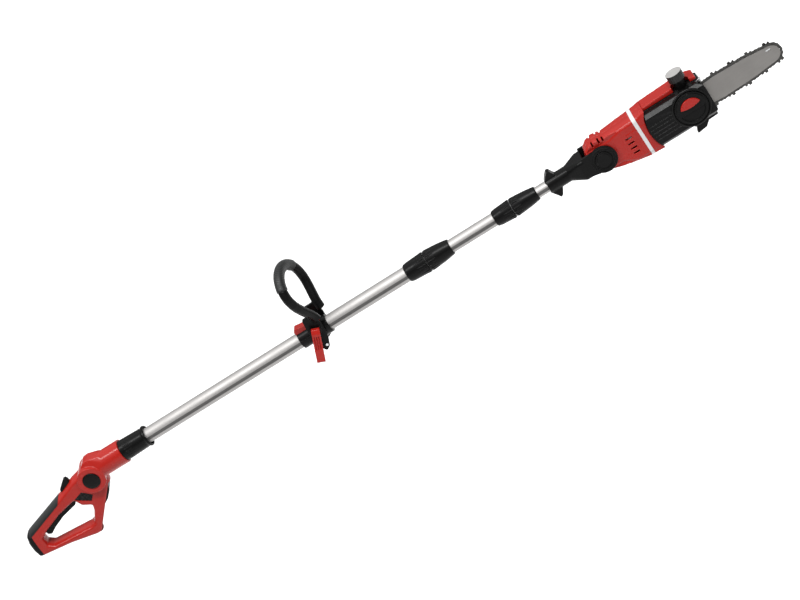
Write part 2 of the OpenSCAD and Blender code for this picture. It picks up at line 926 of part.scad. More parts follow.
module bumper_spikes() {
    color("dimgray") on_head() plate(bumper_y, case_y0 - 0.4) bumper_outline();
}

module top_cover() {
    color("firebrick") on_head() difference() {
        plate(-12, 28) intersection() {
            rounded(3) polygon([
                [104, 36.2], [104, 41], [112, 43.5], [186, 46.5], [222, 45.5], [235, 41], [239, 36.2]
            ]);
            front_of_arc();
        }
        translate(filler_at) cylinder(h = 60, r = 19);
    }
}

module oil_cap() {
    color([0.1, 0.1, 0.1]) on_head() translate(filler_at) difference() {
        translate([0, 0, 28.4]) cylinder(h = 17, r = 17);
        for (a = [0 : 20 : 359]) rotate([0, 0, a]) translate([17.6, 0, 27]) cylinder(h = 16, r = 1.2);
    }
}

// ---------- knob that clamps the chain cover and the bar
module cover_knob() {
    color([0.07, 0.07, 0.07]) on_head() difference() {
        union() {
            rod_y(-40, -36.2, 34, stud_x);
            rod_y(-43, -40, 31, stud_x);
            rod_y(-36.3, -24, 10, stud_x);
        }
        rod_y(-41, -23, 4.05, stud_x);
        translate([stud_x, 0, 0]) plate(-44, -41) half_moon();
        translate([stud_x, 0, 0]) plate(-44, -40.2) intersection() {
            circle(27);
            translate([-30, -27]) square([60, 22]);
        }
    }
}

module half_moon() {
    intersection() {
        circle(23);
        translate([0, 64]) circle(60);
    }
}

module knob_insert() {
    color("firebrick") on_head() translate([stud_x, 0, 0]) plate(-46, -41) offset(delta = -0.2) half_moon();
}

// ---------- guide bar
// The chain's path as a belt round the wraps: one half, from the nose back to the sprocket.
function lean(i, set) = asin((set[i][1] - set[i + 1][1]) / (set[i + 1][0] - set[i][0]));
function run(i, set) = (set[i + 1][0] - set[i][0]) * cos(lean(i, set));
function arc_len(r, a) = r * a * PI / 180;
last = len(wraps) - 1;
// angles at which the belt leaves the wheel towards the nose and towards the sprocket
function leave(i, set) = i == len(set) - 1 ? 90 : lean(i, set);
function arrive(i, set) = i == 0 ? -90 : lean(i - 1, set);
function wheel_len(i, set) = arc_len(set[i][1], leave(i, set) - arrive(i, set));
// the point at distance s along the half belt, measured from the nose, with its heading
function belt_at(s, i = last, set = wraps) =
    s <= wheel_len(i, set) || i == 0
    ? let (a = leave(i, set) - s / set[i][1] * 180 / PI)
      [set[i][0] + set[i][1] * sin(a), set[i][1] * cos(a), a]
    : s <= wheel_len(i, set) + run(i - 1, set)
    ? let (d = s - wheel_len(i, set), a = lean(i - 1, set))
      [set[i][0] + set[i][1] * sin(a) - d * cos(a), set[i][1] * cos(a) + d * sin(a), a]
    : belt_at(s - wheel_len(i, set) - run(i - 1, set), i - 1, set);
function half_len(i = last) =
    i == 0 ? wheel_len(0, wraps) : wheel_len(i, wraps) + run(i - 1, wraps) + half_len(i - 1);
belt_len = 2 * half_len();

// Puts its children at distance s along the whole chain, with X along the chain and Z outwards.
module along_chain(s) {
    upper = s <= belt_len / 2;
    p = belt_at(upper ? s : belt_len - s);
    translate([p[0], bar_y, upper ? p[1] : -p[1]]) rotate([0, upper ? p[2] : 180 - p[2], 0]) children();
}

function bar_edge(a0, a1, x, r) =
    [for (k = [0 : 8]) let (a = a0 + (a1 - a0) * k / 8) [x + r * sin(a), r * cos(a)]];
bar_top = concat(
    [[149, 8], [156, 15.5]],
    bar_edge(lean(0, wraps), lean(1, wraps), wraps[1][0], bar_half_w),
    bar_edge(lean(1, wraps), lean(2, wraps), wraps[2][0], bar_half_w - 2),
    bar_edge(lean(2, wraps), 90, nose_x, nose_pitch_r - rail_h)
);
bar_points = concat(bar_top, [for (i = [len(bar_top) - 1 : -1 : 0]) [bar_top[i][0], -bar_top[i][1]]]);

module guide_bar() {
    color("slategray") on_head() difference() {
        plate(bar_y - bar_t / 2, bar_y + bar_t / 2) polygon(bar_points);
        // groove that guides the drive links, all the way round
        difference() {
            plate(bar_y - 0.75, bar_y + 0.75) polygon(bar_points);
            plate(bar_y - 1, bar_y + 1) offset(delta = -5.8) polygon(bar_points);
        }
        // pocket for the nose sprocket
        rod_y(bar_y - 0.75, bar_y + 0.75, 15.2, nose_x);
        plate(-30, -10) {
            translate([160, -4.3]) square([50, 8.6]);
            translate([160, 0]) circle(4.3);
            translate([210, 0]) circle(4.3);
            translate([216, -9]) circle(2.6);
            translate([372, 9]) rounded(1) square([10, 3.4]);
        }
    }
}

module nose_sprocket() {
    color("silver") on_head() translate([nose_x, 0, 0]) plate(bar_y - 0.6, bar_y + 0.6) difference() {
        circle(14.6);
        circle(3.6);
        for (i = [0 : nose_teeth - 1]) rotate(i * 360 / nose_teeth) translate([15.4, 0]) circle(3.4);
    }
}

// ---------- saw chain
module drive_link() {
    plate(-0.6, 0.6) polygon([
        [-7, -2.6], [-3.5, -3], [-1, -5], [1.5, -5.2], [3.5, -3], [7, -2.6], [7.2, 1.5], [3, 2.2],
        [-3, 2.2], [-7.2, 1.5]
    ]);
}

module tie_strap() {
    plate(0.7, 1.9) polygon([[-7, -2.6], [7, -2.6], [7.4, 1], [4, 2.6], [0, 1.6], [-4, 2.6], [-7.4, 1]]);
}

module rivet_heads() {
    for (n = [-1, 1]) side(n) for (x = [-link_step / 4, link_step / 4]) rod_y(1.9, 2.3, 1.8, x, 0);
}

module tie_straps() {
    for (n = [-1, 1]) side(n) tie_strap();
    rivet_heads();
}

module cutter(s) {
    side(s) {
        plate(0.7, 1.9) polygon([
            [-7, -2.6], [7, -2.6], [7.4, 1], [6.6, 5.2], [3.6, 5.2], [2.2, 2.8], [0, 2.6],
            [-1.4, 6.6], [-7, 6], [-7.4, 1]
        ]);
        plate(-0.6, 1.9) polygon([[-1.4, 6.6], [-7, 6], [-7, 5], [-1.6, 5.4]]);
    }
    side(-s) tie_strap();
    rivet_heads();
}

// Drive links, and between them tie straps and cutters by turns, each link a solid of its own
module saw_chain() {
    color("dimgray") on_head() for (i = [0 : link_count - 1]) {
        along_chain((i + 0.25) * belt_len / link_count) drive_link();
        along_chain((i + 0.75) * belt_len / link_count)
            if (i % 2 == 0) tie_straps();
            else cutter(i % 4 == 1 ? 1 : -1);
    }
}

handle_shell_left();
handle_shell_right();
grip_pad();
handle_end_cap();
handle_screws();
side_grilles();
battery_shoe();
battery_terminals();
switch_module();
trigger();
trigger_spring();
lock_off_button();
neck();
boss_caps();
boss_bolt();
pole_collar();
outer_tube();
lock1_sleeve();
lock1_collet();
lock1_nut();
cable_coil();
middle_tube();
middle_guide();
lock2_sleeve();
lock2_collet();
lock2_nut();
inner_tube();
inner_guide();
head_lead();
loop_handle();
loop_grip();
clamp_upper();
clamp_lower();
saddle_block();
clamp_bolt();
lever();
yoke();
pivot_bolt();
tilt_button_left();
tilt_button_right();
motor_housing_left();
motor_housing_right();
housing_band();
motor_stator();
motor_rotor();
crown_gear();
sprocket_shaft();
gear_case();
bar_stud();
oil_tank();
chain_cover();
branch_hook();
bumper_spikes();
top_cover();
oil_cap();
cover_knob();
knob_insert();
guide_bar();
nose_sprocket();
saw_chain();
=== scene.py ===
import json
import math

import bmesh
import bpy
from mathutils import Matrix, Vector


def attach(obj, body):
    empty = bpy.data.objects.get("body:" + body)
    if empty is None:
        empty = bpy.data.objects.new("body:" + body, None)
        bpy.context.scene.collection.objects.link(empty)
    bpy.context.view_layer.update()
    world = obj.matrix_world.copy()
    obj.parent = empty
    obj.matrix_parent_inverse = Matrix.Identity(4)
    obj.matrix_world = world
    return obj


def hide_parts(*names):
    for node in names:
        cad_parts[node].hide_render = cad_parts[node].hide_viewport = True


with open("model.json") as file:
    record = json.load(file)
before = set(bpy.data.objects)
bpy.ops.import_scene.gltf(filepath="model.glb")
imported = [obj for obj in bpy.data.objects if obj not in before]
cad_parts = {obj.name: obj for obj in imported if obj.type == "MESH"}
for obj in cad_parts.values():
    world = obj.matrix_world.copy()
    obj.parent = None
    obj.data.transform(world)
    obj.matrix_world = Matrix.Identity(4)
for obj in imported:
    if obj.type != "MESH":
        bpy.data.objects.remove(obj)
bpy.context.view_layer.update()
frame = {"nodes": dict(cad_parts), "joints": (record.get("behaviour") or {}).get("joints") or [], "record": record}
NODES = frame["nodes"]
BODY_OF = {node: body for body, nodes in frame["record"]["behaviour"]["bodies"].items() for node in nodes}
SLOT_OF = {sub["node"]: sub["material_slot"] for sub in frame["record"]["subparts"]}
MM = 0.001

# The saw head's own frame has its origin on the tilt axis, as in the CAD source.
PIVOT = next(Vector(j["pos_m"]) for j in frame["joints"] if j["name"] == "head_tilt")
HEAD = PIVOT / MM


# ---------- shader helpers
class Shader:
    """A material under construction: its tree, its Principled node and short calls for the usual nodes."""

    def __init__(self, name, rough, metallic=0.0, specular=0.5):
        self.mat = bpy.data.materials.new(name)
        self.mat.use_nodes = True
        self.tree = self.mat.node_tree
        self.bsdf = self.tree.nodes["Principled BSDF"]
        self.bsdf.inputs["Roughness"].default_value = rough
        self.bsdf.inputs["Metallic"].default_value = metallic
        self.bsdf.inputs["Specular IOR Level"].default_value = specular
        self.coords = self.tree.nodes.new("ShaderNodeTexCoord").outputs["Object"]

    def link(self, out, socket):
        self.tree.links.new(out, socket)

    def noise(self, scale, detail=3.0, stretch=(1, 1, 1), rough=0.5):
        """Noise over the object's own coordinates, stretched along its axes."""
        mapping = self.tree.nodes.new("ShaderNodeMapping")
        mapping.inputs["Scale"].default_value = stretch
        self.link(self.coords, mapping.inputs["Vector"])
        tex = self.tree.nodes.new("ShaderNodeTexNoise")
        tex.inputs["Scale"].default_value = scale
        tex.inputs["Detail"].default_value = detail
        tex.inputs["Roughness"].default_value = rough
        self.link(mapping.outputs["Vector"], tex.inputs["Vector"])
        return tex.outputs["Fac"]

    def span(self, value, low, high, to_low=0.0, to_high=1.0):
        """Maps the stretch from low to high on another one, held at both ends."""
        node = self.tree.nodes.new("ShaderNodeMapRange")
        self.link(value, node.inputs["Value"])
        node.inputs["From Min"].default_value = low
        node.inputs["From Max"].default_value = high
        node.inputs["To Min"].default_value = to_low
        node.inputs["To Max"].default_value = to_high
        return node.outputs["Result"]

    def math(self, operation, a, b=None):
        node = self.tree.nodes.new("ShaderNodeMath")
        node.operation = operation
        for socket, value in zip(node.inputs, (a, b)):
            if isinstance(value, (int, float)):
                socket.default_value = value
            elif value is not None:
                self.link(value, socket)
        return node.outputs["Value"]

    def height(self):
        """The Z coordinate of the shaded point, in metres."""
        node = self.tree.nodes.new("ShaderNodeSeparateXYZ")
        self.link(self.coords, node.inputs["Vector"])
        return node.outputs["Z"]

    def mix(self, factor, a, b):
        node = self.tree.nodes.new("ShaderNodeMix")
        node.data_type = "RGBA"
        self.link(factor, node.inputs["Factor"])
        for socket, value in ((node.inputs["A"], a), (node.inputs["B"], b)):
            if isinstance(value, tuple):
                socket.default_value = (*value, 1.0)
            else:
                self.link(value, socket)
        return node.outputs["Result"]

    def edges(self):
        """One on sharp outer edges, nought on flat faces."""
        node = self.tree.nodes.new("ShaderNodeNewGeometry")
        return self.span(node.outputs["Pointiness"], 0.53, 0.62)

    def bump(self, height, distance, strength):
        node = self.tree.nodes.new("ShaderNodeBump")
        node.inputs["Strength"].default_value = strength
        node.inputs["Distance"].default_value = distance
        self.link(height, node.inputs["Height"])
        self.link(node.outputs["Normal"], self.bsdf.inputs["Normal"])


def scaled(colour, factor):
    """A lighter or darker tone of a colour."""
    return tuple(min(1.0, channel * factor) for channel in colour)


def moulded(name, colour, rough, grain=2600.0, depth=0.02, edge_highlight=1.5, specular=0.3):
    """Moulded plastic: faint colour drift, spark-eroded grain, uneven gloss, and sharp edges painted paler as a
    highlight.
    """
    sh = Shader(name, rough, specular=specular)
    drift = sh.mix(sh.noise(14.0, 4.0), scaled(colour, 0.9), scaled(colour, 1.1))
    # Painted highlight: sharp edges, made patchy by noise, are mixed towards a paler tone of the colour.
    edge_highlight_mask = sh.math("MULTIPLY", sh.edges(), sh.span(sh.noise(220.0, 5.0), 0.35, 0.65))
    tone = sh.mix(sh.math("MULTIPLY", edge_highlight_mask, 0.45), drift, scaled(colour, edge_highlight))
    gloss = sh.span(sh.noise(55.0, 6.0), 0.3, 0.7, rough - 0.05, rough + 0.07)
    sh.link(tone, sh.bsdf.inputs["Base Color"])
    sh.link(gloss, sh.bsdf.inputs["Roughness"])
    sh.bump(sh.noise(grain, 2.0), depth * MM, 0.6)
    return sh.mat


def rubbery(name, colour, rough):
    """Soft overmould: dull, with a coarser pebbled skin."""
    sh = Shader(name, rough, specular=0.2)
    sh.bsdf.inputs["Sheen Weight"].default_value = 0.08
    tone = sh.mix(sh.noise(40.0, 5.0), scaled(colour, 0.8), scaled(colour, 1.25))
    gloss = sh.span(sh.noise(90.0, 4.0), 0.3, 0.7, rough - 0.06, rough + 0.08)
    sh.link(tone, sh.bsdf.inputs["Base Color"])
    sh.link(gloss, sh.bsdf.inputs["Roughness"])
    sh.bump(sh.noise(1500.0, 3.0), 0.05 * MM, 0.7)
    return sh.mat


SMUDGE = 0.08


def metal(name, colour, rough, stretch=(1, 1, 1), scale=900.0, depth=0.006):
    """Machined or drawn metal: fine lines along one axis, soft smudges in the gloss."""
    sh = Shader(name, rough, metallic=1.0)
    lines = sh.noise(scale, 5.0, stretch, 0.6)
    tint = sh.mix(sh.noise(18.0, 4.0), scaled(colour, 0.93), scaled(colour, 1.05))
    tone = sh.mix(sh.span(lines, 0.3, 0.7, 0.0, 0.35), tint, scaled(colour, 0.82))
    smudges = sh.span(sh.noise(30.0, 6.0), 0.35, 0.65, rough - SMUDGE / 2, rough + SMUDGE)
    gloss = sh.math("ADD", sh.span(lines, 0.3, 0.7, -0.04, 0.04), smudges)
    sh.link(tone, sh.bsdf.inputs["Base Color"])
    sh.link(gloss, sh.bsdf.inputs["Roughness"])
    sh.bump(lines, depth * MM, 0.5)
    return sh.mat


GROOVE_HALF = 3.3
GROOVE_EDGE = 0.7


def tube_metal(name, colour, rough):
    """Drawn aluminium tube: die lines along the pole, with painted shade darkening the guide groove on each side.
    """
    sh = Shader(name, rough, metallic=0.85)
    lines = sh.noise(700.0, 4.0, (0.01, 1.0, 1.0), 0.6)
    tint = sh.mix(sh.noise(9.0, 4.0), scaled(colour, 0.96), scaled(colour, 1.03))
    drawn = sh.mix(sh.span(lines, 0.35, 0.65, 0.0, 0.2), tint, scaled(colour, 0.86))
    off_axis = sh.math("ABSOLUTE", sh.height())
    # Painted shade: the colour is darkened within GROOVE_HALF of the tube's axis height, where the groove is
    # shaded.
    groove_shade = sh.span(off_axis, GROOVE_HALF * MM, (GROOVE_HALF + GROOVE_EDGE) * MM, 1.0, 0.0)
    gloss = sh.span(sh.noise(25.0, 6.0), 0.3, 0.7, rough - 0.03, rough + 0.06)
    sh.link(sh.mix(groove_shade, drawn, scaled(colour, 0.3)), sh.bsdf.inputs["Base Color"])
    sh.link(gloss, sh.bsdf.inputs["Roughness"])
    sh.bump(lines, 0.004 * MM, 0.5)
    return sh.mat


RED = (0.235, 0.009, 0.006)
BLACK = (0.003, 0.003, 0.003)
# Sharp edges of these plastics are painted paler as a highlight, most of all on the near-black ones.
red = moulded("red_plastic", RED, 0.22, edge_highlight=1.2, specular=0.2)
black = moulded("black_plastic", BLACK, 0.27, edge_highlight=10.0, specular=0.08)
gloss_black = moulded(
    "gloss_black_plastic", BLACK, 0.2, grain=1200.0, depth=0.004, edge_highlight=14.0, specular=0.08,
)
nylon = moulded("nylon", (0.2, 0.2, 0.2), 0.5, edge_highlight=1.3)
tank = moulded("tank_plastic", (0.7, 0.7, 0.64), 0.4)
board = moulded("circuit_board", (0.01, 0.12, 0.04), 0.35)
rubber = rubbery("soft_rubber", (0.0055, 0.006, 0.006), 0.4)
silver = moulded("silver_trim", (0.42, 0.42, 0.425), 0.28, edge_highlight=1.1)
aluminium = tube_metal("pole_aluminium", (0.3, 0.292, 0.286), 0.56)
steel = metal("steel", (0.56, 0.57, 0.58), 0.28)
bar_steel = metal(
    "bar_steel", (0.185, 0.178, 0.17), 0.4, stretch=(0.03, 1.0, 1.0), scale=1200.0, depth=0.01,
)
chain_steel = metal("chain_steel", (0.055, 0.054, 0.052), 0.34, scale=500.0)
motor_steel = metal("motor_steel", (0.3, 0.3, 0.31), 0.35)
copper = metal("contact_copper", (0.8, 0.5, 0.25), 0.25)

SLOT_MATERIAL = {
    "red_plastic": red, "black_plastic": black, "grey_nylon": nylon, "soft_rubber": rubber,
    "pole_aluminium": aluminium, "steel": steel, "silver_trim": silver, "copper": copper,
    "motor_steel": motor_steel, "circuit_board": board, "tank_plastic": tank,
}


CAP_TOP = 71.0
CAP_TOP_EDGE = 0.2
CAP_GREY_DARK = (0.2, 0.197, 0.193)
CAP_GREY_PALE = (0.27, 0.265, 0.26)


def cap_plastic():
    """The oil cap: black sides and a pale grey top."""
    sh = Shader("cap_plastic", 0.35, specular=0.3)
    top = sh.span(sh.height(), PIVOT.z + CAP_TOP * MM, PIVOT.z + (CAP_TOP + CAP_TOP_EDGE) * MM)
    # Above CAP_TOP the colour turns to a noise-mottled pale grey; the sides stay black.
    grey_top = sh.mix(sh.noise(60.0, 4.0), CAP_GREY_DARK, CAP_GREY_PALE)
    sh.link(sh.mix(top, BLACK, grey_top), sh.bsdf.inputs["Base Color"])
    sh.bump(sh.noise(1500.0, 2.0), 0.02 * MM, 0.6)
    return sh.mat


cap = cap_plastic()


# ---------- mesh helpers
WELD_REACH = 0.002
FLAT_ANGLE = 0.8
WEIGHTED_NORMALS_BELOW = 60000
MOULD_VOXEL = 0.9


def new_object(name, mesh):
    obj = bpy.data.objects.new(name, mesh)
    bpy.context.scene.collection.objects.link(obj)
    return obj


def from_bmesh(name, bm):
    mesh = bpy.data.meshes.new(name)
    bm.normal_update()
    bm.to_mesh(mesh)
    bm.free()
    return new_object(name, mesh)


def applied(obj):
    """Puts the modifiers' result in the object's own mesh."""
    bpy.context.view_layer.update()
    graph = bpy.context.evaluated_depsgraph_get()
    mesh = bpy.data.meshes.new_from_object(obj.evaluated_get(graph))
    obj.modifiers.clear()
    obj.data = mesh
    return obj


def shade(obj, angle=38.0):
    """Smooth shading that stays sharp where faces meet at more than the angle."""
    for face in obj.data.polygons:
        face.use_smooth = True
    obj.data.set_sharp_from_angle(angle=math.radians(angle))
    if len(obj.data.polygons) < WEIGHTED_NORMALS_BELOW:
        normals = obj.modifiers.new("normals", "WEIGHTED_NORMAL")
        normals.keep_sharp = True
        applied(obj)
    return obj


def cad_copy(node):
    """A welded copy of a CAD node's mesh, with the flat areas merged to single faces."""
    bm = bmesh.new()
    bm.from_mesh(NODES[node].data)
    bmesh.ops.remove_doubles(bm, verts=bm.verts, dist=WELD_REACH * MM)
    bmesh.ops.dissolve_limit(bm, angle_limit=math.radians(FLAT_ANGLE), verts=bm.verts, edges=bm.edges)
    return from_bmesh(node + "_skin", bm)


def bevelled(obj, width, segments=2, angle=30.0):
    bevel = obj.modifiers.new("bevel", "BEVEL")
    bevel.width = width * MM
    bevel.segments = segments
    bevel.limit_method = "ANGLE"
    bevel.angle_limit = math.radians(angle)
    bevel.use_clamp_overlap = False
    return applied(obj)


def melted(obj, voxel, rounds):
    """Rounds every edge a little, as a moulding does, by remeshing finely and smoothing."""
    remesh = obj.modifiers.new("remesh", "REMESH")
    remesh.mode = "VOXEL"
    remesh.voxel_size = voxel * MM
    smooth = obj.modifiers.new("smooth", "SMOOTH")
    smooth.factor = 0.5
    smooth.iterations = rounds
    applied(obj)
    for face in obj.data.polygons:
        face.use_smooth = True
    return obj


def cut(obj, tool, operation="DIFFERENCE"):
    """Cuts the object with the tool, which is used up."""
    boolean = obj.modifiers.new("cut", "BOOLEAN")
    boolean.operation = operation
    boolean.object = tool
    boolean.solver = "EXACT"
    applied(obj)
    bpy.data.objects.remove(tool)
    return obj


def place(obj, body, material, node):
    obj.data.materials.clear()
    obj.data.materials.append(material)
    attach(obj, body)
    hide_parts(node)


def dress(node, material=None, width=0.4, segments=2, angle=30.0):
    """A CAD node's shape with broken edges."""
    obj = shade(bevelled(cad_copy(node), width, segments, angle))
    place(obj, BODY_OF[node], material or SLOT_MATERIAL[SLOT_OF[node]], node)


def melt(node, rounds):
    """A CAD node's shape with moulded, rounded edges."""
    obj = melted(cad_copy(node), MOULD_VOXEL, rounds)
    place(obj, BODY_OF[node], SLOT_MATERIAL[SLOT_OF[node]], node)


def round_corners(points, radius, steps=5):
    """An outline in mm with each corner turned into an arc."""
    out = []
    count = len(points)
    for i, point in enumerate(points):
        here = Vector(point)
        back = Vector(points[i - 1]) - here
        ahead = Vector(points[(i + 1) % count]) - here
        half = back.angle(ahead) / 2
        reach = min(radius / math.tan(half), back.length * 0.45, ahead.length * 0.45)
        r = reach * math.tan(half)
        centre = here + (back.normalized() + ahead.normalized()).normalized() * (r / math.sin(half))
        first = here + back.normalized() * reach - centre
        last = here + ahead.normalized() * reach - centre
        for k in range(steps + 1):
            arm = first.normalized().slerp(last.normalized(), k / steps)
            out.append(tuple(centre + arm * r))
    return out


def add_plate(bm, y0, y1, outline, hole=()):
    """Adds a plate between two Y values from an XZ outline in mm, with or without a hole."""
    edges = []
    for loop in filter(len, (outline, hole)):
        verts = [bm.verts.new((x * MM, y0 * MM, z * MM)) for x, z in loop]
        edges += [bm.edges.new((verts[i - 1], verts[i])) for i in range(len(verts))]
    cap = bmesh.ops.triangle_fill(bm, edges=edges, use_beauty=True, use_dissolve=False)
    faces = [f for f in cap["geom"] if isinstance(f, bmesh.types.BMFace)]
    grown_part = bmesh.ops.extrude_face_region(bm, geom=faces, use_keep_orig=True)
    verts = [v for v in grown_part["geom"] if isinstance(v, bmesh.types.BMVert)]
    bmesh.ops.translate(bm, verts=verts, vec=(0, (y1 - y0) * MM, 0))
    bmesh.ops.recalc_face_normals(bm, faces=bm.faces)


def prism(name, outline, y0, y1):
    bm = bmesh.new()
    add_plate(bm, y0, y1, outline)
    return from_bmesh(name, bm)


def box(name, low, high):
    bm = bmesh.new()
    (x0, y0, z0), (x1, y1, z1) = low, high
    add_plate(bm, y0, y1, [(x0, z0), (x1, z0), (x1, z1), (x0, z1)])
    return from_bmesh(name, bm)


def joined(obj, *others):
    """Adds the others' meshes to the first object's."""
    bm = bmesh.new()
    for part in (obj, *others):
        bm.from_mesh(part.data)
    bm.to_mesh(obj.data)
    bm.free()
    for part in others:
        bpy.data.objects.remove(part)
    return obj


def inside(point, outline):
    """True where a ray from the point crosses the outline an odd number of times."""
    x, z = point
    hit = False
    for (x0, z0), (x1, z1) in zip(outline, outline[1:] + outline[:1]):
        if (z0 > z) != (z1 > z) and x < x0 + (z - z0) / (z1 - z0) * (x1 - x0):
            hit = not hit
    return hit


def raised(obj, outline, height, side):
    """Lifts the part of a fine mesh that lies inside an XZ outline (mm) and faces one side of Y."""
    normals = [v.normal.copy() for v in obj.data.vertices]
    for vert, normal in zip(obj.data.vertices, normals):
        if normal.y * side > 0.45 and inside((vert.co.x / MM, vert.co.z / MM), outline):
            vert.co += normal * height * MM


def on_head(outline):
    """An outline from the head's own frame, moved to the row frame."""
    return [(x + HEAD.x, z + HEAD.z) for x, z in outline]


LATHE_STEPS = 96


def lathe(name, profile, start, axis):
    """Turns a profile of (distance along the axis, radius) pairs in mm about an axis through start."""
    bm = bmesh.new()
    rings = []
    for along, radius in profile:
        if radius < 1e-6:
            rings.append([bm.verts.new((along * MM, 0, 0))])
            continue
        ring = []
        for k in range(LATHE_STEPS):
            a = 2 * math.pi * k / LATHE_STEPS
            ring.append(bm.verts.new((along * MM, radius * MM * math.cos(a), radius * MM * math.sin(a))))
        rings.append(ring)
    for one, two in zip(rings, rings[1:]):
        for k in range(LATHE_STEPS):
            n = k + 1
            corners = [one[k % len(one)], one[n % len(one)], two[n % len(two)], two[k % len(two)]]
            bm.faces.new(dict.fromkeys(corners))
    bmesh.ops.recalc_face_normals(bm, faces=bm.faces)
    obj = from_bmesh(name, bm)
    turn = Vector((1, 0, 0)).rotation_difference(Vector(axis)).to_matrix().to_4x4()
    obj.data.transform(Matrix.Translation(Vector(start)) @ turn)
    return obj


SWEEP_SIDES = 40


def sweep(name, centres, frames, radii):
    """A closed round bar through centres (m), with frames of (out, side) unit vectors and radii in mm."""
    bm = bmesh.new()
    rings = []
    for centre, (out, side), radius in zip(centres, frames, radii):
        ring = []
        for k in range(SWEEP_SIDES):
            a = 2 * math.pi * k / SWEEP_SIDES
            arm = out * math.cos(a) + side * math.sin(a)
            ring.append(bm.verts.new(centre + arm * radius * MM))
        rings.append(ring)
    for one, two in zip(rings, rings[1:]):
        for k in range(SWEEP_SIDES):
            n = (k + 1) % SWEEP_SIDES
            bm.faces.new((one[k], one[n], two[n], two[k]))
    bm.faces.new(reversed(rings[0]))
    bm.faces.new(rings[-1])
    bmesh.ops.recalc_face_normals(bm, faces=bm.faces)
    return from_bmesh(name, bm)


# ---------- rear handle
SEAT_FROM = Vector((-222.2, -137.7))  # the battery seat's lower end and its slope, as in the CAD source
SEAT_TURN = math.radians(46.2)


def seat(along, inward):
    """A point in the battery seat's frame: along the seat upwards, then into the handle."""
    c, s = math.cos(SEAT_TURN), math.sin(SEAT_TURN)
    return (SEAT_FROM.x + along * c - inward * s, SEAT_FROM.y + along * s + inward * c)


# The grip's XZ outline with its end cap, which share one skin, then the hole and the areas on it.
HANDLE = [
    (-123.3, -40.5), (-118, -12), (-130, 14), (-158, 17), (-192, 9), (-226, -4), (-300, -28),
    (-350, -44), (-357, -50), (-363, -65), (-365.3, -84), (-364, -104), (-358, -108),
    (-285, -118), (-226, -131.5), seat(12, -3.6),
]
OPENING = [
    (-215, -34), (-209, -52), (-191, -64), (-197, -78), (-214, -101), (-226, -104),
    (-318, -97), (-328, -88), (-327, -72), (-308, -61), (-262, -44),
]
PAD = [(-233, -1), (-247, -19), (-351, -54), (-345.3, -43), (-341, -20), (-233, 14)]
CAP = [
    (-338, -20), (-341, -43), (-345, -60), (-348, -82),
    (-350, -106), (-352, -130), (-390, -130), (-390, -20),
]
GRILLE = [(-212, -30), (-187, -22), (-170, -41), (-182, -53)]
GRIP_HALF = 19.0
OUTER_ARCH = 9.5
HOLE_ARCH = 7.0
ARCH_POWER = 2.4
ARCH_STEPS = 9
SHOE_HALF = 16.7
SPLIT_GAP = 0.12
CAP_GAP = 0.15
PAD_RAISE = 0.45
BEYOND = 40.0  # a Y value well outside the handle
GRILLE_FLOOR = 17.2
GRILLE_RIBS = 6
GRILLE_PITCH = 6.0


def grown(points, amount):
    """An outline moved outwards by amount."""
    out = []
    count = len(points)
    area = sum(points[i - 1][0] * points[i][1] - points[i][0] * points[i - 1][1] for i in range(count))
    way = 1 if area > 0 else -1
    for i in range(count):
        a, b, c = (Vector(points[k % count]) for k in (i - 1, i, i + 1))
        n1 = Vector(((b - a).y, -(b - a).x)).normalized() * way
        n2 = Vector(((c - b).y, -(c - b).x)).normalized() * way
        bend = (n1 + n2) / (1 + max(n1.dot(n2), -0.5))
        out.append(tuple(b + bend * amount))
    return out


def handle_solid(name):
    """The D-handle: plates that shrink along an arch towards both sides, melted into one skin."""
    bm = bmesh.new()
    for k in range(ARCH_STEPS):
        across = math.sin(math.pi / 2 * (k + 0.8) / ARCH_STEPS)
        drop = 1 - (1 - across ** ARCH_POWER) ** (1 / ARCH_POWER)
        outer = round_corners(grown(HANDLE, -OUTER_ARCH * drop), 6.0)
        hole = round_corners(grown(OPENING, HOLE_ARCH * drop), 5.0)
        add_plate(bm, -GRIP_HALF * across, GRIP_HALF * across, outer, hole)
    return melted(from_bmesh(name, bm), MOULD_VOXEL, 8)


def half_of(obj, sign):
    """The part of a closed mesh on one side of the XZ plane, capped where it was cut."""
    bm = bmesh.new()
    bm.from_mesh(obj.data)
    geom = bm.verts[:] + bm.edges[:] + bm.faces[:]
    done = bmesh.ops.bisect_plane(
        bm, geom=geom, dist=1e-7, clear_outer=True,
        plane_co=(0, sign * SPLIT_GAP * MM, 0), plane_no=(0, -sign, 0),
    )
    rim = [e for e in done["geom_cut"] if isinstance(e, bmesh.types.BMEdge)]
    bmesh.ops.triangle_fill(bm, edges=rim, use_beauty=True, use_dissolve=False)
    bm.to_mesh(obj.data)
    bm.free()
    return obj


def build_shells():
    """Both handle shells, with room for the battery shoe, the end cap and the grilles."""
    shoe_room = [seat(11.7, 10.8), seat(11.7, -8), seat(140, -8), seat(134, 10.8)]
    for sign, node in ((-1, "handle_shell_left"), (1, "handle_shell_right")):
        shell = half_of(handle_solid(node + "_skin"), sign)
        cut(shell, prism("shoe_room", shoe_room, -SHOE_HALF, SHOE_HALF))
        cut(shell, prism("cap_room", grown(CAP, CAP_GAP), -BEYOND, BEYOND))
        cut(shell, prism("grille_room", round_corners(GRILLE, 1.5), sign * GRILLE_FLOOR, sign * 30))
        place(shade(shell, 50.0), "pole", red, node)


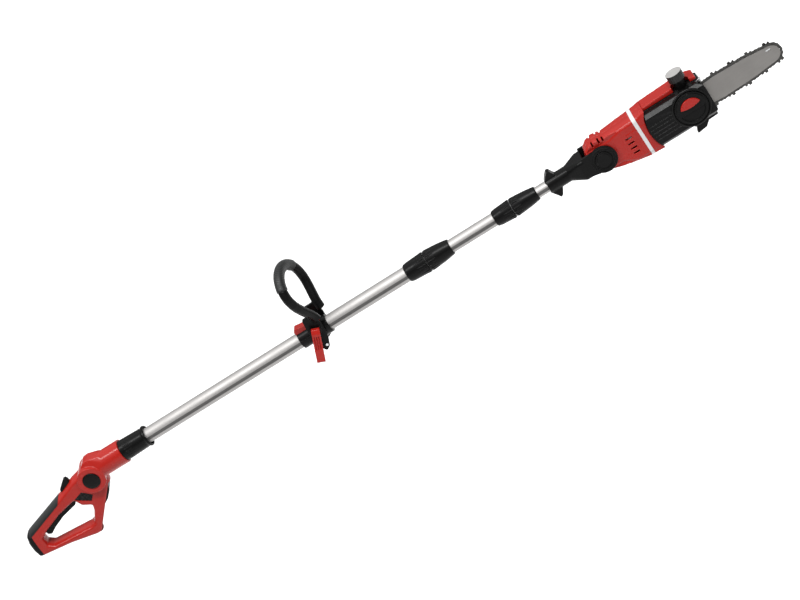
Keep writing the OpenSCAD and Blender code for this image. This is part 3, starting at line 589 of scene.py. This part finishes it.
def build_pad():
    """The soft pad on the back of the grip: the handle's skin, slightly raised."""
    pad = handle_solid("grip_pad_skin")
    for vert, normal in zip(pad.data.vertices, [v.normal.copy() for v in pad.data.vertices]):
        vert.co += normal * PAD_RAISE * MM
    cut(pad, prism("pad_area", round_corners(PAD, 5.0), -BEYOND, BEYOND), "INTERSECT")
    place(shade(pad, 50.0), "pole", rubber, "grip_pad")


def build_end_cap():
    end_cap = handle_solid("handle_end_cap_skin")
    cut(end_cap, prism("cap_area", grown(CAP, -CAP_GAP), -BEYOND, BEYOND), "INTERSECT")
    place(shade(end_cap, 50.0), "pole", black, "handle_end_cap")


def build_grilles():
    """A back plate with leaning ribs, sunk in each side of the handle."""
    parts = []
    for sign in (-1, 1):
        parts.append(prism("back", grown(GRILLE, -0.3), sign * 16.4, sign * 17.6))
        for step in range(GRILLE_RIBS):
            x = -205.0 + step * GRILLE_PITCH
            outline = [(x, -60), (x + 3.0, -60), (x + 4.0, -15), (x + 1.0, -15)]
            bar = prism("rib", outline, sign * 17.0, sign * 18.7)
            area = prism("area", grown(GRILLE, -0.5), sign * 15, sign * 20)
            parts.append(cut(bar, area, "INTERSECT"))
    place(shade(joined(*parts)), "pole", black, "side_grilles")


build_shells()
build_pad()
build_end_cap()
build_grilles()
melt("neck", 6)
dress("handle_screws", width=0.15)
dress("battery_shoe", width=0.6)
dress("battery_terminals", width=0.1)
dress("switch_module", width=0.2)
dress("trigger", width=1.6, segments=4)
dress("trigger_spring", width=0.05, angle=80.0)
dress("lock_off_button", width=0.9, segments=3)
dress("boss_caps", gloss_black, width=0.5, segments=3, angle=50.0)
dress("boss_bolt", width=0.2)
dress("pole_collar", width=0.5, segments=3, angle=35.0)

# ---------- pole
for name in ("outer_tube", "middle_tube", "inner_tube"):
    dress(name, width=0.15, angle=50.0)
for name in ("lock1_sleeve", "lock1_nut", "lock2_sleeve", "lock2_nut"):
    dress(name, width=0.5, segments=3, angle=26.0)
for name in ("lock1_collet", "lock2_collet", "middle_guide", "inner_guide", "cable_coil", "head_lead"):
    dress(name, width=0.2, angle=45.0)

# ---------- front loop, on the same centre line as in the CAD source
LOOP_X, LOOP_OFFSET, LOOP_HALF, LOOP_BASE = 430.0, 28.0, 54.0, 22.0
LOOP_TOP, LOOP_MID, LOOP_FOOT = 156.0, 110.0, 30.0
LOOP_YAW, LOOP_LEAN = math.radians(15), math.radians(4)
GRIP_END = 60.0
GRIP_RADIUS = 11.7
RIB_COUNT = 26
RIB_STEPS = 6
RIB_DEPTH = 0.45
PLAIN_STEPS = 10
END_ROUNDING = (1.2, 0.3)


def loop_at(degrees):
    """A point (m) on the loop's centre line: nought at the top, the feet past 90 on both sides."""
    t = math.radians(degrees)
    if abs(degrees) <= 90:
        bow = LOOP_HALF * math.sin(t)
        z = LOOP_MID + math.cos(t) * (LOOP_TOP - LOOP_MID)
    else:
        bow = math.copysign(LOOP_BASE + (LOOP_HALF - LOOP_BASE) * math.sin(abs(t)) ** 4, degrees)
        z = LOOP_MID + math.cos(t) * (LOOP_MID - LOOP_FOOT)
    back = (z - LOOP_MID) * math.tan(LOOP_LEAN)
    x = LOOP_X + LOOP_OFFSET + bow * math.sin(LOOP_YAW) - back
    return Vector((x, bow * math.cos(LOOP_YAW), z)) * MM


def build_loop_grip():
    """Soft grip with rings round it, swept along the top of the loop."""
    steps = RIB_COUNT * RIB_STEPS
    centres, frames, radii = [], [], []
    out = Vector((math.cos(LOOP_YAW), -math.sin(LOOP_YAW), 0))
    for k in range(steps + 1):
        t = -GRIP_END + 2 * GRIP_END * k / steps
        along = (loop_at(t + 1) - loop_at(t - 1)).normalized()
        centres.append(loop_at(t))
        frames.append((out, along.cross(out).normalized()))
        from_end = min(k, steps - k)
        radius = GRIP_RADIUS
        if from_end >= PLAIN_STEPS:
            radius -= RIB_DEPTH * (1 - math.cos(2 * math.pi * k / RIB_STEPS)) / 2
        if from_end < len(END_ROUNDING):
            radius -= END_ROUNDING[from_end]
        radii.append(radius)
    grip = sweep("loop_grip_skin", centres, frames, radii)
    place(shade(grip, 60.0), "loop", rubber, "loop_grip")


melt("loop_handle", 8)
build_loop_grip()
dress("clamp_upper", width=0.5)
dress("clamp_lower", width=0.5)
dress("saddle_block", width=1.4, segments=4)
dress("clamp_bolt", width=0.3)
dress("lever", width=1.2, segments=3)

# ---------- saw head
STUD_X = 197.0
COVER_FACE = -36.0
KNOB_CENTRE = Vector((HEAD.x + STUD_X, COVER_FACE, HEAD.z)) * MM
RIM_PROFILE = [(-2.0, 34.6), (-2.0, 39.6), (1.5, 40.2), (2.6, 39.4), (3.0, 38.0), (2.6, 36.0), (1.2, 34.6)]
COVER_RIBS = 5
COVER_RIB_PITCH = 8.0
COVER_RIB_HALF = 1.1
COVER_RIB_LENGTH = 56.0


def build_chain_cover():
    """The cover with the round rim that the knob sits in and the ribs along its face."""
    cover = bevelled(cad_copy("chain_cover"), 0.9, 3)
    rim = lathe("rim", RIM_PROFILE, KNOB_CENTRE, (0, -1, 0))
    bm = bmesh.new()
    for k in range(COVER_RIBS):
        x0 = HEAD.x + 106.0 + abs(k - 1) * 1.5
        x1 = x0 + COVER_RIB_LENGTH
        z0 = HEAD.z + 9.0 - k * COVER_RIB_PITCH - COVER_RIB_HALF
        z1 = z0 + 2 * COVER_RIB_HALF
        add_plate(bm, COVER_FACE - 0.7, COVER_FACE + 1, [(x0, z0), (x0, z1), (x1, z1), (x1, z0)])
    ribs = bevelled(from_bmesh("ribs", bm), 0.6, 3)
    cut(ribs, lathe("bore", [(-6, 0), (-6, 37), (6, 37), (6, 0)], KNOB_CENTRE, (0, -1, 0)))
    place(shade(joined(cover, rim, ribs)), "head", gloss_black, "chain_cover")


YOKE_FACE = 28.0
YOKE_RINGS = (20.0, 24.0)


def build_yoke():
    """The yoke with two low rings round each tilt button."""
    yoke = melted(cad_copy("yoke"), MOULD_VOXEL, 6)
    rings = []
    for side in (-1, 1):
        centre = Vector((HEAD.x, side * YOKE_FACE, HEAD.z)) * MM
        for radius in YOKE_RINGS:
            profile = [(-1.5, radius), (1.0, radius + 0.6), (1.0, radius + 1.2), (-1.5, radius + 2.6)]
            rings.append(lathe("ring", profile, centre, (0, side, 0)))
    place(shade(joined(yoke, *rings), 50.0), "inner_stage", black, "yoke")


build_yoke()
dress("pivot_bolt", width=0.3)
dress("tilt_button_left", width=0.6, segments=3)
dress("tilt_button_right", width=0.6, segments=3)

HOUSING_HALF = 30.0
HOUSING_TOP, HOUSING_BOTTOM = 42.0, -44.0
HOUSING_POWER = 5.5
HOUSING_LIFT = 1.05
FADE_FROM, FADE_TO = 96.0, 118.0
VENT_HEIGHTS = (-22, -11, 0, 11)
VENT_HALF = 1.7
SIDE_PANEL = [(33, -60), (61, 20), (130, 20), (130, -60)]


def squircle(obj):
    """Rounds the housing's box section to a superellipse, fading back to the box at the chain cover."""
    middle = (HOUSING_TOP + HOUSING_BOTTOM) / 2
    half_height = (HOUSING_TOP - HOUSING_BOTTOM) / 2
    for vert in obj.data.vertices:
        x = vert.co.x / MM - HEAD.x
        y = vert.co.y / MM
        z = vert.co.z / MM - HEAD.z
        u, v = abs(y) / HOUSING_HALF, abs(z - middle) / half_height
        size = max(u, v, 1e-6)
        sum_of_powers = (u / size) ** HOUSING_POWER + (v / size) ** HOUSING_POWER
        scale = HOUSING_LIFT * sum_of_powers ** (-1 / HOUSING_POWER)
        scale_y = min(1.0, scale)
        fade = min(1.0, max(0.0, (x - FADE_FROM) / (FADE_TO - FADE_FROM)))
        scale_y += (1.0 - scale_y) * fade
        scale += (1.0 - scale) * fade
        vert.co.y = y * scale_y * MM
        vert.co.z = (HEAD.z + middle + (z - middle) * scale) * MM
    return obj


def build_housing():
    """The two motor housing shells with a raised side panel and vents, and the band round both."""
    for sign, name in ((-1, "motor_housing_left"), (1, "motor_housing_right")):
        shell = squircle(melted(cad_copy(name), MOULD_VOXEL, 4))
        raised(shell, on_head(SIDE_PANEL), 0.7, sign)
        for z in VENT_HEIGHTS:
            low = (HEAD.x + 56.5, sign * 22.0, HEAD.z + z - VENT_HALF)
            high = (HEAD.x + 69.5, sign * 40.0, HEAD.z + z + VENT_HALF)
            cut(shell, box("vent", low, high))
        place(shell, "head", red, name)
    band = squircle(melted(cad_copy("housing_band"), 0.6, 3))
    place(band, "head", silver, "housing_band")


build_housing()
for name in ("motor_stator", "motor_rotor", "crown_gear", "sprocket_shaft", "bar_stud"):
    dress(name, width=0.15)
dress("gear_case", width=0.8, segments=3)
dress("oil_tank", width=0.5)
build_chain_cover()
dress("branch_hook", width=0.8, segments=3)
dress("bumper_spikes", width=0.3)
melt("top_cover", 14)
dress("oil_cap", cap, width=0.5)
dress("cover_knob", width=0.6, segments=3)
dress("knob_insert", width=0.6, segments=3)
dress("guide_bar", bar_steel, width=0.2)
dress("nose_sprocket", width=0.1)
dress("saw_chain", chain_steel, width=0.12, segments=1)


# ---------- stage, light and camera, in metres
FLOOR_REACH = 60.0
FLOOR_AT = (0.6, 0.0, -1.1)


def stage_floor():
    """A wide pale floor below the saw."""
    bm = bmesh.new()
    bmesh.ops.create_grid(bm, x_segments=8, y_segments=8, size=FLOOR_REACH)
    floor = from_bmesh("floor", bm)
    floor.location = FLOOR_AT
    sh = Shader("pale_floor", 0.6)
    sh.link(sh.mix(sh.noise(0.8, 3.0), (0.9, 0.9, 0.9), (0.93, 0.93, 0.93)), sh.bsdf.inputs["Base Color"])
    floor.data.materials.append(sh.mat)


def area_light(name, position, target, size, power):
    data = bpy.data.lights.new(name, "AREA")
    data.shape = "RECTANGLE"
    data.size, data.size_y = size
    data.energy = power
    lamp = bpy.data.objects.new(name, data)
    bpy.context.scene.collection.objects.link(lamp)
    lamp.location = position
    lamp.rotation_euler = (Vector(target) - Vector(position)).to_track_quat("-Z", "Y").to_euler()


SKY = (("From Min", 0.35), ("From Max", 0.9), ("To Min", 0.25), ("To Max", 1.7))
SUN_STRENGTH = 1.15
SUN_FROM = Vector((0.25, -0.35, 1.0))
STRIP_AT = (0.5, -0.9, 1.9)
STRIP_AIM = (0.6, 0.0, 0.0)


def light_studio():
    """A sky that brightens upwards, a soft sun and one long strip above the pole."""
    world = bpy.data.worlds.new("studio")
    bpy.context.scene.world = world
    world.use_nodes = True
    tree = world.node_tree
    direction = tree.nodes.new("ShaderNodeTexCoord")
    parts = tree.nodes.new("ShaderNodeSeparateXYZ")
    tree.links.new(direction.outputs["Generated"], parts.inputs["Vector"])
    ramp = tree.nodes.new("ShaderNodeMapRange")
    for socket, value in SKY:
        ramp.inputs[socket].default_value = value
    tree.links.new(parts.outputs["Z"], ramp.inputs["Value"])
    background = tree.nodes["Background"]
    background.inputs["Color"].default_value = (1.0, 1.0, 1.0, 1.0)
    tree.links.new(ramp.outputs["Result"], background.inputs["Strength"])
    sun = bpy.data.lights.new("sky", "SUN")
    sun.energy = SUN_STRENGTH
    sun.angle = math.radians(25)
    lamp = bpy.data.objects.new("sky", sun)
    bpy.context.scene.collection.objects.link(lamp)
    lamp.rotation_euler = SUN_FROM.to_track_quat("Z", "Y").to_euler()
    area_light("strip", STRIP_AT, STRIP_AIM, size=(3.2, 0.2), power=75)


CAMERA_AT = Vector((1.316, -3.146, 1.490))
CAMERA_AIM = Vector((0.616, 0.0, -0.0422))
CAMERA_LENS = 78.3
CAMERA_ROLL = math.radians(31.93)
POLE_POINT = Vector((0.616, 0.0, 0.0))


def aim_camera():
    """The pole rises to the upper right, so the camera is rolled about its line of sight."""
    data = bpy.data.cameras.new("camera")
    data.lens = CAMERA_LENS
    data.sensor_width = 36.0
    camera = bpy.data.objects.new("camera", data)
    bpy.context.scene.collection.objects.link(camera)
    ahead = (CAMERA_AIM - CAMERA_AT).normalized()
    pole_plane = Vector((1, 0, 0)).cross(POLE_POINT - CAMERA_AT).normalized()
    along = pole_plane.cross(ahead).normalized()
    if along.x < 0:
        along.negate()
    across = along.cross(ahead).normalized()
    if across.z < 0:
        across.negate()
    right = along * math.cos(CAMERA_ROLL) - across * math.sin(CAMERA_ROLL)
    up = along * math.sin(CAMERA_ROLL) + across * math.cos(CAMERA_ROLL)
    turn = Matrix((right, up, -ahead)).transposed().to_4x4()
    camera.matrix_world = Matrix.Translation(CAMERA_AT) @ turn
    bpy.context.scene.camera = camera
    bpy.context.scene.view_settings.view_transform = "Standard"


stage_floor()
light_studio()
aim_camera()
